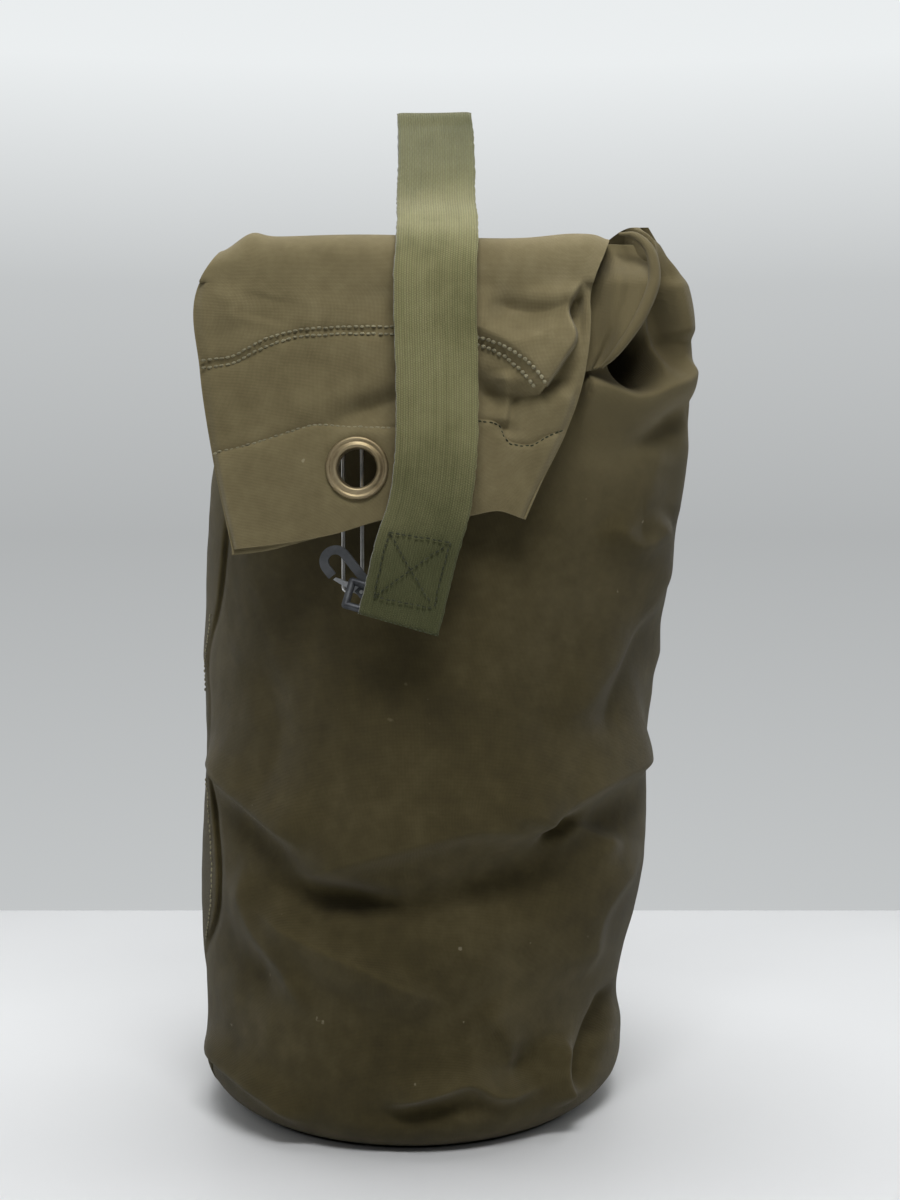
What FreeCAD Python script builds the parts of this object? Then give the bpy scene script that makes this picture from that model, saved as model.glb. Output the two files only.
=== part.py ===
"""Canvas duffel bag with a folded-over mouth, brass-finish grommets, a web carrying strap and a snap hook.

The frame is in millimetres: +Z up, the front of the bag faces -Y, and the origin is the centre of the
round base where it rests on the ground.
"""
import FreeCAD, Part
import math
import os

import Sketcher
from FreeCAD import Placement, Rotation, Vector

doc = FreeCAD.newDocument("duffel_bag")
sheet = doc.addObject("Spreadsheet::Sheet", "sizes")

SIZES = [
    # canvas tube, its flattened neck and the round base
    ("body_radius", 160), ("canvas", 3), ("shoulder_z", 340), ("neck_z", 585), ("neck_y", -128),
    ("neck_half_width", 165), ("neck_half_depth", 20), ("base_thick", 3), ("base_gap", 0.3),
    ("band_low", 6), ("band_high", 26), ("band_thick", 1.6), ("skin_gap", 0.4),
    ("seam_low", 32), ("seam_high", 335), ("seam_angle", 30), ("seam_start", 165),
    # mouth flap: a flattened tube that hangs down the front from its fold
    ("flap_front_y", -184), ("flap_depth", 14), ("flap_wall", 2.5), ("flap_top_z", 586),
    ("flap_left", -148), ("flap_right", 118), ("flap_low_left", -138), ("flap_low_right", 56),
    ("flap_corner_z", 398), ("flap_edge_z", 418), ("flap_edge_x", -20),
    ("hem_top_z", 474), ("hem_thick", 1.2), ("ply_gap", 0.05),
    # grommets
    ("grommet_z", 450), ("grommet_bore", 12.2), ("grommet_barrel", 13), ("grommet_flange", 19),
    ("flange_thick", 2.2), ("washer_thick", 1.1), ("grommet_x", -48), ("grommet_pitch", 45),
    # closing staple
    ("staple_z", 485), ("staple_x", -52), ("staple_leg", 113), ("staple_width", 12), ("staple_wire", 1.2),
    ("staple_y", -164.9), ("plate_width", 34), ("plate_height", 24), ("plate_thick", 2.9),
    ("knuckle_radius", 2.5), ("knuckle_length", 8), ("rivet_radius", 2.2), ("rivet_pitch", 22),
    # carrying strap
    ("strap_width", 51), ("strap_thick", 2.2), ("strap_x", -4), ("strap_back_y", 163.2),
    ("strap_low_z", 60), ("strap_bend_z", 348), ("loop_y", -60), ("loop_z", 695),
    ("strap_front_y", -196), ("strap_front_top", 575), ("strap_kink_z", 440), ("strap_end_z", 357),
    ("strap_lean", 16), ("turn_back", 62), ("patch_size", 72), ("patch_thick", 1.2),
    # snap hook
    ("hook_thick", 6), ("hook_bar", 2.4), ("bar_slack", 0.35), ("eye_height", 15), ("eye_depth", 5.8),
    ("hook_side", -19), ("hook_set_back", 1.6), ("hook_lean", 38), ("hook_shank", 7),
    ("hook_length", 24), ("hook_bight", 6.5),
    ("hook_nose", 6), ("gate_root", -1), ("gate_thick", 2), ("gate_gap", 2), ("gate_width", 4), ("pin_radius", 1.2),
    ("pin_clear", 0.08),
]
for row, (alias, value) in enumerate(SIZES, start=1):
    sheet.set("A%d" % row, alias)
    sheet.set("B%d" % row, str(value))
    sheet.setAlias("B%d" % row, alias)
doc.recompute()


def size(alias):
    """The number in a cell of the sheet."""
    return float(getattr(sheet, alias))


def expression(text):
    """The text with each alias written as a reference to the sheet."""
    words = []
    word = ""
    for letter in text + " ":
        if letter.isalnum() or letter == "_":
            word += letter
            continue
        words.append("sizes." + word if word in ALIASES else word)
        words.append(letter)
        word = ""
    return "".join(words).strip()


ALIASES = {alias for alias, value in SIZES}
RIVETS_X = ("staple_x - rivet_pitch / 2", "staple_x + rivet_pitch / 2")
RIVET_Z = "staple_z + 16"
NODES = []


def node(thing, label):
    """Names an object as a sub-part that is written out."""
    thing.Label = label
    NODES.append(thing)
    return thing


def cylinder(name, radius, low, high, angle=None):
    """A cylinder about Z between two heights, with its sizes bound to the sheet."""
    made = doc.addObject("Part::Cylinder", name)
    made.setExpression("Radius", expression(radius))
    made.setExpression("Height", expression("(%s) - (%s)" % (high, low)))
    made.setExpression("Placement.Base.z", expression(low))
    if angle:
        made.setExpression("Angle", expression(angle))
    return made


def box(name, low, high):
    """A box between two corners, each given as three expressions."""
    made = doc.addObject("Part::Box", name)
    for side, a, b, axis in zip(("Length", "Width", "Height"), low, high, "xyz"):
        made.setExpression(side, expression("(%s) - (%s)" % (b, a)))
        made.setExpression("Placement.Base." + axis, expression(a))
    return made


def rod(name, radius, start, length, direction):
    """A cylinder from a point, along an axis of the frame."""
    made = doc.addObject("Part::Cylinder", name)
    made.setExpression("Radius", expression(radius))
    made.setExpression("Height", expression(length))
    made.Placement = Placement(Vector(), Rotation(Vector(0, 0, 1), direction))
    for axis, text in zip("xyz", start):
        made.setExpression("Placement.Base." + axis, expression(text))
    return made


def cut(name, base, tool):
    made = doc.addObject("Part::Cut", name)
    made.Base = base
    made.Tool = tool
    return made


def fuse(name, shapes):
    made = doc.addObject("Part::MultiFuse", name)
    made.Shapes = shapes
    return made


def plate(name, outline, low_y, high_y):
    """A flat plate facing -Y: the outline is (x, z) expressions, extruded between two y."""
    body = doc.addObject("PartDesign::Body", name)
    plane = next(f for f in body.Origin.OriginFeatures if f.Role == "XZ_Plane")
    sketch = body.newObject("Sketcher::SketchObject", name + "_outline")
    sketch.AttachmentSupport = (plane, [""])
    sketch.MapMode = "FlatFace"
    sketch.setExpression("AttachmentOffset.Base.z", expression("-(%s)" % high_y))
    spots = [Vector(number(x), number(z), 0) for x, z in outline]
    count = len(spots)
    for i in range(count):
        sketch.addGeometry(Part.LineSegment(spots[i], spots[(i + 1) % count]))
    for i in range(count):
        sketch.addConstraint(Sketcher.Constraint("Coincident", i, 2, (i + 1) % count, 1))
    for i, (x, z) in enumerate(outline):
        across = sketch.addConstraint(Sketcher.Constraint("DistanceX", -1, 1, i, 1, spots[i].x))
        sketch.setExpression("Constraints[%d]" % across, expression(x))
        up = sketch.addConstraint(Sketcher.Constraint("DistanceY", -1, 1, i, 1, spots[i].y))
        sketch.setExpression("Constraints[%d]" % up, expression(z))
    pad = body.newObject("PartDesign::Pad", name + "_pad")
    pad.Profile = sketch
    pad.setExpression("Length", expression("(%s) - (%s)" % (high_y, low_y)))
    return body


def number(text):
    """Works out an expression through a scratch cell of the sheet."""
    sheet.set("Z1", "=" + text)
    sheet.recompute()
    return float(sheet.get("Z1"))


def ribbon(label, path, x_low, x_high, thick):
    """A flat web of the given thickness that follows a path of (y, z) points, between two x."""
    points = [Vector(0, y, z) for y, z in path]
    runs = [(b - a).normalize() for a, b in zip(points, points[1:])]
    sides = ([], [])
    for i, spot in enumerate(points):
        before = runs[max(i - 1, 0)]
        after = runs[min(i, len(runs) - 1)]
        middle = (before + after).normalize()
        normal = Vector(0, -middle.z, middle.y)
        reach = thick / 2 / middle.dot(after)
        sides[0].append(spot + normal * reach)
        sides[1].append(spot - normal * reach)
    corners = sides[0] + sides[1][::-1]
    face = Part.Face(Part.makePolygon(corners + corners[:1]))
    solid = face.extrude(Vector(x_high - x_low, 0, 0))
    solid.translate(Vector(x_low, 0, 0))
    made = doc.addObject("Part::Feature", label)
    made.Shape = solid
    return made


# ---------------------------------------------------------------- bag


def across_tube(kind, name, radii, height, centre):
    """A closed curve across the tube: a Part::Circle, or a Part::Ellipse that is wide along X."""
    made = doc.addObject(kind, name)
    for field, text in radii.items():
        made.setExpression(field, expression(text))
    made.setExpression("Placement.Base.y", expression(centre))
    made.setExpression("Placement.Base.z", expression(height))
    return made


def bag_form(name, inset, low):
    """The round tube and the shoulder that flattens it into the mouth, as one solid."""
    tube = cylinder(name + "_tube", "body_radius - " + inset, low, "shoulder_z")
    round_end = across_tube("Part::Circle", name + "_round", {"Radius": "body_radius - " + inset},
                            "shoulder_z", "0")
    radii = {"MajorRadius": "neck_half_width - " + inset, "MinorRadius": "neck_half_depth - " + inset}
    flat_end = across_tube("Part::Ellipse", name + "_flat", radii, "neck_z", "neck_y")
    shoulder = doc.addObject("Part::Loft", name + "_shoulder")
    shoulder.Sections = [round_end, flat_end]
    shoulder.Solid = True
    shoulder.Ruled = True
    return fuse(name, [tube, shoulder])


def canvas_body():
    node(cut("canvas_body", bag_form("outside", "0", "0"), bag_form("inside", "canvas", "-1")),
         "canvas_body")


def base():
    node(cylinder("bottom_disc", "body_radius - canvas - base_gap", "0", "base_thick"), "bottom_disc")
    inner = cylinder("band_inner", "body_radius + skin_gap", "band_low - 1", "band_high + 1")
    outer = cylinder("band_outer", "body_radius + skin_gap + band_thick", "band_low", "band_high")
    node(cut("bottom_seam_band", outer, inner), "bottom_seam_band")


def side_seam():
    """The folded seam strip that runs up the left side and stands a little proud."""
    inner = cylinder("seam_inner", "body_radius + skin_gap", "seam_low - 1", "seam_high + 1")
    outer = cylinder("seam_outer", "body_radius + skin_gap + 2 * band_thick", "seam_low", "seam_high",
                     "seam_angle")
    outer.setExpression("Placement.Rotation.Angle", expression("seam_start * 1deg"))
    node(cut("side_seam_strip", outer, inner), "side_seam_strip")


# ---------------------------------------------------------------- mouth flap


def flap_outline(inset, low_shift, high_shift):
    """The flap's front outline, with its sides pulled in and its ends moved."""
    return [
        ("flap_left + " + inset, "flap_top_z + " + high_shift),
        ("flap_low_left + " + inset, "flap_corner_z - " + low_shift),
        ("flap_edge_x", "flap_edge_z - " + low_shift),
        ("flap_low_right - " + inset, "flap_edge_z - " + low_shift),
        ("flap_right - " + inset, "flap_top_z + " + high_shift),
    ]


def grommet_holes(name, low_y, high_y):
    """Two holes right through both plies of the flap."""
    return [rod("%s_hole_%d" % (name, i), "grommet_barrel + 0.1",
                ("grommet_x + %d * grommet_pitch" % i, low_y, "grommet_z"),
                "(%s) - (%s)" % (high_y, low_y), Vector(0, 1, 0)) for i in range(2)]


def flap():
    back = "flap_front_y + flap_depth"
    skin = plate("flap_skin", flap_outline("0", "0", "0"), "flap_front_y", back)
    slot = plate("flap_slot", flap_outline("flap_wall", "5", "5"), "flap_front_y + flap_wall",
                 back + " - flap_wall")
    holes = grommet_holes("flap", "flap_front_y - 5", back + " + 5")
    paths = [rod("flap_rivet_%d" % i, "rivet_radius + 0.02", (x, back + " - flap_wall - 1", RIVET_Z),
                 "flap_wall + 5", Vector(0, 1, 0)) for i, x in enumerate(RIVETS_X)]
    node(cut("flap_canvas", skin, fuse("flap_space", [slot] + holes + paths)), "flap_canvas")


def hem():
    """The reinforcing band sewn round the mouth, one ply on the front and one on the back."""
    low = [("flap_low_left + 1", "flap_corner_z"), ("flap_edge_x", "flap_edge_z"),
           ("flap_low_right - 1", "flap_edge_z"), ("flap_low_right + 17", "hem_top_z"),
           ("flap_low_left - 3", "hem_top_z - 8")]
    front = plate("hem_front", low, "flap_front_y - ply_gap - hem_thick", "flap_front_y - ply_gap")
    back_y = "flap_front_y + flap_depth + ply_gap"
    back = plate("hem_back", low, back_y, back_y + " + hem_thick")
    holes = grommet_holes("hem", "flap_front_y - 9", "flap_front_y + flap_depth + 9")
    node(cut("hem_band", fuse("hem_plies", [front, back]), fuse("hem_holes", holes)), "hem_band")


def grommet(index, x, ply):
    """A rolled flange with its barrel, and the toothed washer that clinches behind the cloth.

    ply is "outer" for the flap's front ply and "inner" for the ply behind it."""
    outer = ply == "outer"
    sign = -1 if outer else 1
    face = "flap_front_y - ply_gap * 2 - hem_thick" if outer else (
        "flap_front_y + flap_depth + ply_gap * 2 + hem_thick")
    stack = "flange_thick + ply_gap * 4 + hem_thick + flap_wall + washer_thick"
    start = "%s + (%d) * flange_thick" % (face, sign)
    away = Vector(0, -sign, 0)
    spot = (x, start, "grommet_z")
    name = "grommet_%d" % index
    flange = rod(name + "_flange", "grommet_flange", spot, "flange_thick", away)
    barrel = rod(name + "_barrel", "grommet_barrel", spot, stack, away)
    bore = rod(name + "_bore", "grommet_bore", (x, "%s + (%d) * 5" % (start, sign), "grommet_z"),
               "20 + " + stack, away)
    short = cut(name + "_ring", fuse(name + "_blank", [flange, barrel]), bore)
    edges = doc.addObject("Part::Fillet", name)
    edges.Base = short
    doc.recompute()
    rims = [i + 1 for i, e in enumerate(short.Shape.Edges)
            if e.Length > 2 * math.pi * (size("grommet_flange") - 0.01)
            and abs(e.CenterOfMass.y - number(start)) < 0.01]
    edges.Edges = [(i, 1.6, 1.6) for i in rims]
    node(edges, name)
    seat = "%s + (%d) * (hem_thick + ply_gap * 3 + flap_wall)" % (face, -sign)
    washer = rod(name + "_washer_blank", "grommet_flange - 1.5", (x, seat, "grommet_z"),
                 "washer_thick", away)
    hole = rod(name + "_washer_hole", "grommet_barrel + 0.05",
               (x, "%s + (%d) * 3" % (seat, sign), "grommet_z"), "washer_thick + 6", away)
    node(cut("grommet_washer_%d" % index, washer, hole), "grommet_washer_%d" % index)


def staple_plate():
    """The plate behind the flap whose knuckle carries the wire loop, and its two rivets."""
    back = "flap_front_y + flap_depth + ply_gap"
    low = ("staple_x - plate_width / 2", back, "staple_z - plate_height / 2 + 10")
    high = ("staple_x + plate_width / 2", back + " + plate_thick", "staple_z + plate_height / 2 + 10")
    slab = box("plate_slab", low, high)
    start = ("staple_x - knuckle_length / 2", "staple_y", "staple_z")
    barrel = rod("knuckle", "knuckle_radius", start, "knuckle_length", Vector(1, 0, 0))
    wide = ("staple_x - knuckle_length / 2 - 2", "staple_y", "staple_z")
    eye = rod("knuckle_eye", "staple_wire + pin_clear", wide, "knuckle_length + 4", Vector(1, 0, 0))
    paths, shanks = [], []
    for i, x in enumerate(RIVETS_X):
        spot = (x, "flap_front_y + flap_depth - flap_wall - 0.8", RIVET_Z)
        paths.append(rod("plate_rivet_%d" % i, "rivet_radius + 0.02", spot, "12", Vector(0, 1, 0)))
        shanks.append(rod("rivet_%d" % i, "rivet_radius", spot, "flap_wall + plate_thick + 2",
                          Vector(0, 1, 0)))
    body = fuse("plate_body", [slab, barrel])
    node(cut("staple_plate", body, fuse("plate_holes", [eye] + paths)), "staple_plate")
    node(fuse("staple_rivets", shanks), "staple_rivets")


def closing_staple():
    """A closed loop of wire with rounded corners, swept along its centreline."""
    half = size("staple_width") / 2
    corner = 2.5
    top = size("staple_z")
    low = top - size("staple_leg")
    x, y = size("staple_x"), size("staple_y")
    turn = corner * (1 - math.sqrt(0.5))

    def at(across, up):
        return Vector(x + across, y, up)

    edges = [Part.LineSegment(at(0, top), at(half - corner, top))]
    for side, up, down in ((1, top, 1), (1, low, -1), (-1, low, -1), (-1, top, 1)):
        enter = at(side * (half - corner), up)
        mid = at(side * (half - turn), up - down * turn)
        leave = at(side * half, up - down * corner)
        ends = (enter, mid, leave) if (side > 0) == (down > 0) else (leave, mid, enter)
        edges.append(Part.Arc(*ends))
    edges.insert(2, Part.LineSegment(at(half, top - corner), at(half, low + corner)))
    edges.insert(4, Part.LineSegment(at(half - corner, low), at(corner - half, low)))
    edges.insert(6, Part.LineSegment(at(-half, low + corner), at(-half, top - corner)))
    edges.append(Part.LineSegment(at(corner - half, top), at(0, top)))
    path = Part.Wire([e.toShape() for e in edges])
    circle = Part.Wire(Part.Circle(at(0, top), Vector(1, 0, 0), size("staple_wire")).toShape())
    made = doc.addObject("Part::Feature", "closing_staple")
    made.Shape = path.makePipeShell([circle], True, False)
    node(made, "closing_staple")


# ---------------------------------------------------------------- strap and snap hook


def strap():
    """The web that is sewn to the back, rises to a hanging loop and comes over the top."""
    half = size("strap_width") / 2
    left, right = size("strap_x") - half, size("strap_x") + half
    back, front = size("strap_back_y"), size("strap_front_y")
    fold = Vector(0, front, size("strap_front_top") + 2)
    loop = Vector(0, size("loop_y"), size("loop_z"))
    stop = fold + (loop - fold) * 0.28
    path = [(back, size("strap_low_z")), (back, size("strap_bend_z")),
            (loop.y + 3, loop.z), (loop.y - 3, loop.z), (stop.y, stop.z)]
    node(ribbon("strap_web", path, left, right, size("strap_thick")), "strap_web")
    low = ("strap_x - patch_size / 2", "body_radius + skin_gap", "strap_low_z - 6")
    high = ("strap_x + patch_size / 2", "body_radius + skin_gap + patch_thick",
            "strap_low_z - 6 + patch_size")
    node(box("strap_anchor_patch", low, high), "strap_anchor_patch")


def strap_axes():
    """Unit vectors along the leaning end of the web, upwards and across it, in the XZ plane."""
    lean = math.radians(size("strap_lean"))
    return Vector(math.sin(lean), 0, math.cos(lean)), Vector(math.cos(lean), 0, -math.sin(lean))


def bar_centre():
    """Where the hook's bar lies, inside the turned end of the web."""
    drop = size("strap_kink_z") - size("strap_end_z")
    x = size("strap_x") - drop * math.tan(math.radians(size("strap_lean")))
    y = size("strap_front_y") + size("strap_thick") / 2 + size("bar_slack") + size("hook_bar")
    return Vector(x, y, size("strap_end_z"))


def prism(corners, depth):
    """A solid from corners in an XZ plane, extruded towards the bag."""
    return Part.Face(Part.makePolygon(corners + corners[:1])).extrude(Vector(0, depth, 0))


def bar(start, end, radius):
    run = end - start
    return Part.makeCylinder(radius, run.Length, start, run)


def feature(label, shape):
    """A sub-part whose shape comes from Part's own functions."""
    made = doc.addObject("Part::Feature", label)
    made.Shape = shape.Solids[0] if len(shape.Solids) == 1 else shape
    return node(made, label)


def strap_front():
    """The front run of the web, its end turned back round the hook's bar and sewn down."""
    half, thick = size("strap_width") / 2, size("strap_thick")
    x, kink, y = size("strap_x"), size("strap_kink_z"), size("strap_front_y")
    up, across = strap_axes()
    centre = bar_centre()
    front = Vector(centre.x, y - thick / 2, centre.z)
    top = size("strap_front_top")
    outline = [Vector(x - half, front.y, top), Vector(x + half, front.y, top),
               Vector(x + half, front.y, kink + 7), front + across * half, front - across * half,
               Vector(x - half, front.y, kink - 7)]
    run = prism(outline, thick)
    inner = size("hook_bar") + size("bar_slack")
    outer = inner + thick
    left = centre - across * half
    turn = Part.makeCylinder(outer, 2 * half, left, across)
    turn = turn.cut(Part.makeCylinder(inner, 2 * half, left, across))
    over = [left - across + up * z for z in (0, 2 * outer)]
    over = over + [p + across * (2 * half + 2) for p in over[::-1]]
    block = prism([p - Vector(0, 2 * outer, 0) for p in over], 4 * outer)
    far, near, high = centre.y + outer, y + 1.5 * thick, size("turn_back")
    profile = [(0, far), (6, far), (24, near), (high, near), (high, near - thick), (23, near - thick),
               (5, far - thick), (0, far - thick)]
    corners = [left + up * z + Vector(0, depth - left.y, 0) for z, depth in profile]
    ply = Part.Face(Part.makePolygon(corners + corners[:1])).extrude(across * (2 * half))
    feature("strap_front_web", run.fuse([turn.cut(block), ply]).removeSplitter())


def hook():
    """The hook's rectangular eye, shank and bight, with the gate that closes its throat."""
    thick, wire, half = size("hook_thick"), size("hook_bar"), size("hook_shank") / 2
    up, across = strap_axes()
    centre = bar_centre()
    side = size("strap_width") / 2 + wire + 0.6
    rise = up * size("eye_height") + Vector(0, size("eye_depth"), 0)
    corners = [centre - across * side, centre + across * side]
    corners += [corners[1] + rise, corners[0] + rise]
    eye = [bar(a, b, wire) for a, b in zip(corners, corners[1:] + corners[:1])]
    eye += [Part.makeSphere(wire, spot) for spot in corners]
    lean = math.radians(size("hook_lean"))
    along = Vector(-math.sin(lean), 0, math.cos(lean))
    out = Vector(-math.cos(lean), 0, -math.sin(lean))
    root = centre + rise + across * size("hook_side") + Vector(0, size("hook_set_back"), 0)

    def at(length, reach):
        """A point up the shank, and out on the side of the throat."""
        return root + along * length + out * reach

    length, bight, nose = size("hook_length"), size("hook_bight"), size("hook_nose")
    outer, inner = bight + half, bight - half + 1.5
    shank = prism([at(-3, -half), at(length, -half), at(length, half - 1.5), at(-3, half - 1.5)], thick)
    middle = at(length, bight)
    ring = Part.makeCylinder(outer, thick, middle, Vector(0, 1, 0))
    ring = ring.cut(Part.makeCylinder(inner, thick, middle, Vector(0, 1, 0)))
    ring = ring.cut(prism([at(length, -outer), at(length, 3 * outer), at(-outer, 3 * outer),
                           at(-outer, -outer)], thick))
    tip = prism([at(length - nose, bight + inner), at(length, bight + inner),
                 at(length, bight + outer), at(length - nose, bight + outer)], thick)
    hinge = size("gate_root")
    lug = prism([at(hinge - 4, 0), at(hinge + 4, 0), at(hinge + 3, half + 5), at(hinge - 3, half + 5)],
                thick)
    pin_spot = at(hinge, half + 2)
    depth = size("gate_width")
    gap = (thick - depth) / 2 - 0.2
    throat = prism([at(hinge - 9, half - 1.3), at(length - nose, half - 1.3), at(length - nose, half + 12),
                    at(hinge - 9, half + 12)], thick - 2 * gap)
    throat.translate(Vector(0, gap, 0))
    away = Vector(0, 1, 0)
    bore = Part.makeCylinder(size("pin_radius") + 0.02, thick + 2, pin_spot - away, away)
    feature("hook_frame", shank.fuse([ring, tip, lug]).cut(throat).cut(bore).fuse(eye).removeSplitter())
    feature("gate_pin", Part.makeCylinder(size("pin_radius"), thick, pin_spot, away))
    leaf_tip = length - nose - size("gate_gap")
    reach = bight + (inner + outer) / 2
    half_leaf = size("gate_thick") / 2
    leaf = prism([at(hinge - 2, half), at(hinge + 2, half - 0.4), at(leaf_tip, reach - half_leaf),
                  at(leaf_tip, reach + half_leaf), at(hinge - 2, half + 4.2)], depth)
    leaf.translate(Vector(0, (thick - depth) / 2, 0))
    eye_radius = size("pin_radius") + size("pin_clear")
    feature("gate_leaf", leaf.cut(Part.makeCylinder(eye_radius, thick + 2, pin_spot - away, away)))


def main():
    canvas_body()
    base()
    side_seam()
    flap()
    hem()
    left, right = "grommet_x", "grommet_x + grommet_pitch"
    for index, (x, ply) in enumerate(((left, "outer"), (right, "outer"), (left, "inner"), (right, "inner"))):
        grommet(index + 1, x, ply)
    staple_plate()
    closing_staple()
    strap()
    strap_front()
    hook()
    doc.recompute()
    bad = [o.Label for o in doc.Objects if "Invalid" in o.State or "Error" in o.State]
    assert not bad, "objects that failed: %s" % bad
    os.makedirs("parts", exist_ok=True)
    for thing in NODES:
        shape = thing.Shape
        assert not shape.isNull() and shape.isValid(), thing.Label
        shape.exportStep("parts/%s.step" % thing.Label)
        print(thing.Label, len(shape.Solids), round(shape.Volume, 1))


main()
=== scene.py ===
"""Looks of the canvas duffel bag: folded canvas, webbing, stitching, grommets and soft studio light."""
import math

import bpy
import numpy as np
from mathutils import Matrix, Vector


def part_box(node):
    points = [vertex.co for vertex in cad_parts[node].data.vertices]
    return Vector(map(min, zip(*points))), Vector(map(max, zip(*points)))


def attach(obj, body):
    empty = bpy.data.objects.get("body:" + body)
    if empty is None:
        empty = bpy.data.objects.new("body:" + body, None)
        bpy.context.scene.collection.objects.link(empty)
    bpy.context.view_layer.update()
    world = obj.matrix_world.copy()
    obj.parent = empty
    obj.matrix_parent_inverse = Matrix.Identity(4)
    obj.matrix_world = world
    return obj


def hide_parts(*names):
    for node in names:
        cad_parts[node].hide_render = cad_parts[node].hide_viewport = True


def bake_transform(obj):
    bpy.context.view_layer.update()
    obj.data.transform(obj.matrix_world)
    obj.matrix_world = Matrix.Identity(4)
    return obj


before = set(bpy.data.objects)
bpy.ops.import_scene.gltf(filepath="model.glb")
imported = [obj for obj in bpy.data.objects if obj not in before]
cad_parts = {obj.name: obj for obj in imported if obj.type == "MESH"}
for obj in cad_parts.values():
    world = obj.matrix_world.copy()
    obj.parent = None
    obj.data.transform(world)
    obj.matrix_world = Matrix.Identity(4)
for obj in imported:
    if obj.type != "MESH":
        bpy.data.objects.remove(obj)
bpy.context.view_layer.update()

# metres
CANVAS_THICK = 0.0011
WEB_WIDTH = 0.051
WEB_THICK = 0.0022
FLAP_Y = -0.1835       # the flap's outer ply, before its folds
HOLE_R = 0.0137        # the cut in the ply behind a front grommet's rim


# ---------------------------------------------------------------- number helpers
def keyed(x, table, column):
    """A smooth value between the rows of a table whose first column is x."""
    xs = np.array([r[0] for r in table], float)
    ys = np.array([r[column] for r in table], float)
    x = np.clip(x, xs[0], xs[-1])
    slopes = np.gradient(ys, xs)
    i = np.clip(np.searchsorted(xs, x) - 1, 0, len(xs) - 2)
    h = xs[i + 1] - xs[i]
    t = (x - xs[i]) / h
    return ((2 * t**3 - 3 * t**2 + 1) * ys[i] + (t**3 - 2 * t**2 + t) * h * slopes[i]
            + (3 * t**2 - 2 * t**3) * ys[i + 1] + (t**3 - t**2) * h * slopes[i + 1])


def step(x, low, high):
    """0 below low, 1 above high, and smooth between."""
    t = np.clip((x - low) / (high - low), 0, 1)
    return t * t * (3 - 2 * t)


def rounded(points, per=12):
    """A polyline through the points, smoothed."""
    p = np.array(points, float)
    if len(p) < 3:
        return p
    at = np.r_[0, np.cumsum(np.linalg.norm(np.diff(p, axis=0), axis=1))]
    fine = np.linspace(0, at[-1], per * len(p))
    return np.stack([keyed(fine, np.c_[at, p[:, k]], 1) for k in range(p.shape[1])], 1)


def near(x, z, points):
    """Distance to a line, positive on its left as it runs, and the share of its length there."""
    p = rounded(points)
    best = np.full(x.shape, 9.0)
    side = np.zeros(x.shape)
    share = np.zeros(x.shape)
    length = np.r_[0, np.cumsum(np.linalg.norm(np.diff(p, axis=0), axis=1))]
    for i in range(len(p) - 1):
        ax, az = p[i]
        dx, dz = p[i + 1] - p[i]
        t = np.clip(((x - ax) * dx + (z - az) * dz) / (dx * dx + dz * dz + 1e-12), 0, 1)
        ox, oz = x - ax - t * dx, z - az - t * dz
        d = np.hypot(ox, oz)
        hit = d < best
        best = np.where(hit, d, best)
        side = np.where(hit, np.sign(dx * oz - dz * ox), side)
        share = np.where(hit, (length[i] + t * (length[i + 1] - length[i])) / length[-1], share)
    return best * np.where(side == 0, 1, side), share


def fold(x, z, points, height, left, right, fade=0.25):
    """A ridge along a line that falls off over `left` on its left and `right` on its right."""
    d, share = near(x, z, points)
    wide = np.where(d > 0, left, right)
    ends = step(share, 0, fade) * (1 - step(share, 1 - fade, 1)) if fade else 1
    return height * np.exp(-(np.abs(d) / wide) ** 1.6) * ends


def dent(x, z, cx, cz, rx, rz, depth, turn=0.0, power=2.0):
    """An oval hollow of half-sizes rx and rz, turned about its centre."""
    c, s = math.cos(turn), math.sin(turn)
    u = ((x - cx) * c + (z - cz) * s) / rx
    v = (-(x - cx) * s + (z - cz) * c) / rz
    return -depth * np.exp(-(u * u + v * v) ** (power / 2))


def ripple(a, b, seed, scale, octaves=4):
    """Smooth seeded noise from warped waves, about -1 to 1."""
    rng = np.random.default_rng(seed)
    total = np.zeros(np.shape(a))
    weight = 0.0
    for o in range(octaves):
        f = 2**o / scale
        for k in range(4):
            t = rng.uniform(0, math.pi)
            p, q, r = rng.uniform(0, 2 * math.pi, 3)
            warp = 0.8 * np.sin(f * 0.6 * (a * math.sin(t) - b * math.cos(t)) + q)
            total += np.sin(f * (a * math.cos(t) + b * math.sin(t)) + p + warp) / 2**o
        weight += 4 / 2**o
    return total / weight * 2


def mesh_object(name, co, faces):
    """A smooth-shaded object linked into the scene."""
    me = bpy.data.meshes.new(name)
    me.from_pydata([tuple(c) for c in co], [], faces)
    me.validate()
    me.update()
    me.polygons.foreach_set("use_smooth", [True] * len(me.polygons))
    ob = bpy.data.objects.new(name, me)
    bpy.context.scene.collection.objects.link(ob)
    return ob


def grid_faces(rows, cols, closed):
    """Quads over a grid of vertices; closed joins its last column to its first."""
    r = np.arange(rows - 1)[:, None]
    c = np.arange(cols if closed else cols - 1)[None, :]
    a = r * cols + c
    b = r * cols + (c + 1) % cols
    return np.stack([a, b, b + cols, a + cols], -1).reshape(-1, 4).tolist()


def thickened(ob):
    """The cloth's thickness, given evenly about its surface and made part of the mesh."""
    m = ob.modifiers.new("thick", "SOLIDIFY")
    m.thickness = CANVAS_THICK
    m.offset = 0.0
    graph = bpy.context.evaluated_depsgraph_get()
    graph.update()
    me = bpy.data.meshes.new_from_object(ob.evaluated_get(graph))
    ob.modifiers.clear()
    ob.data = me


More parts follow.
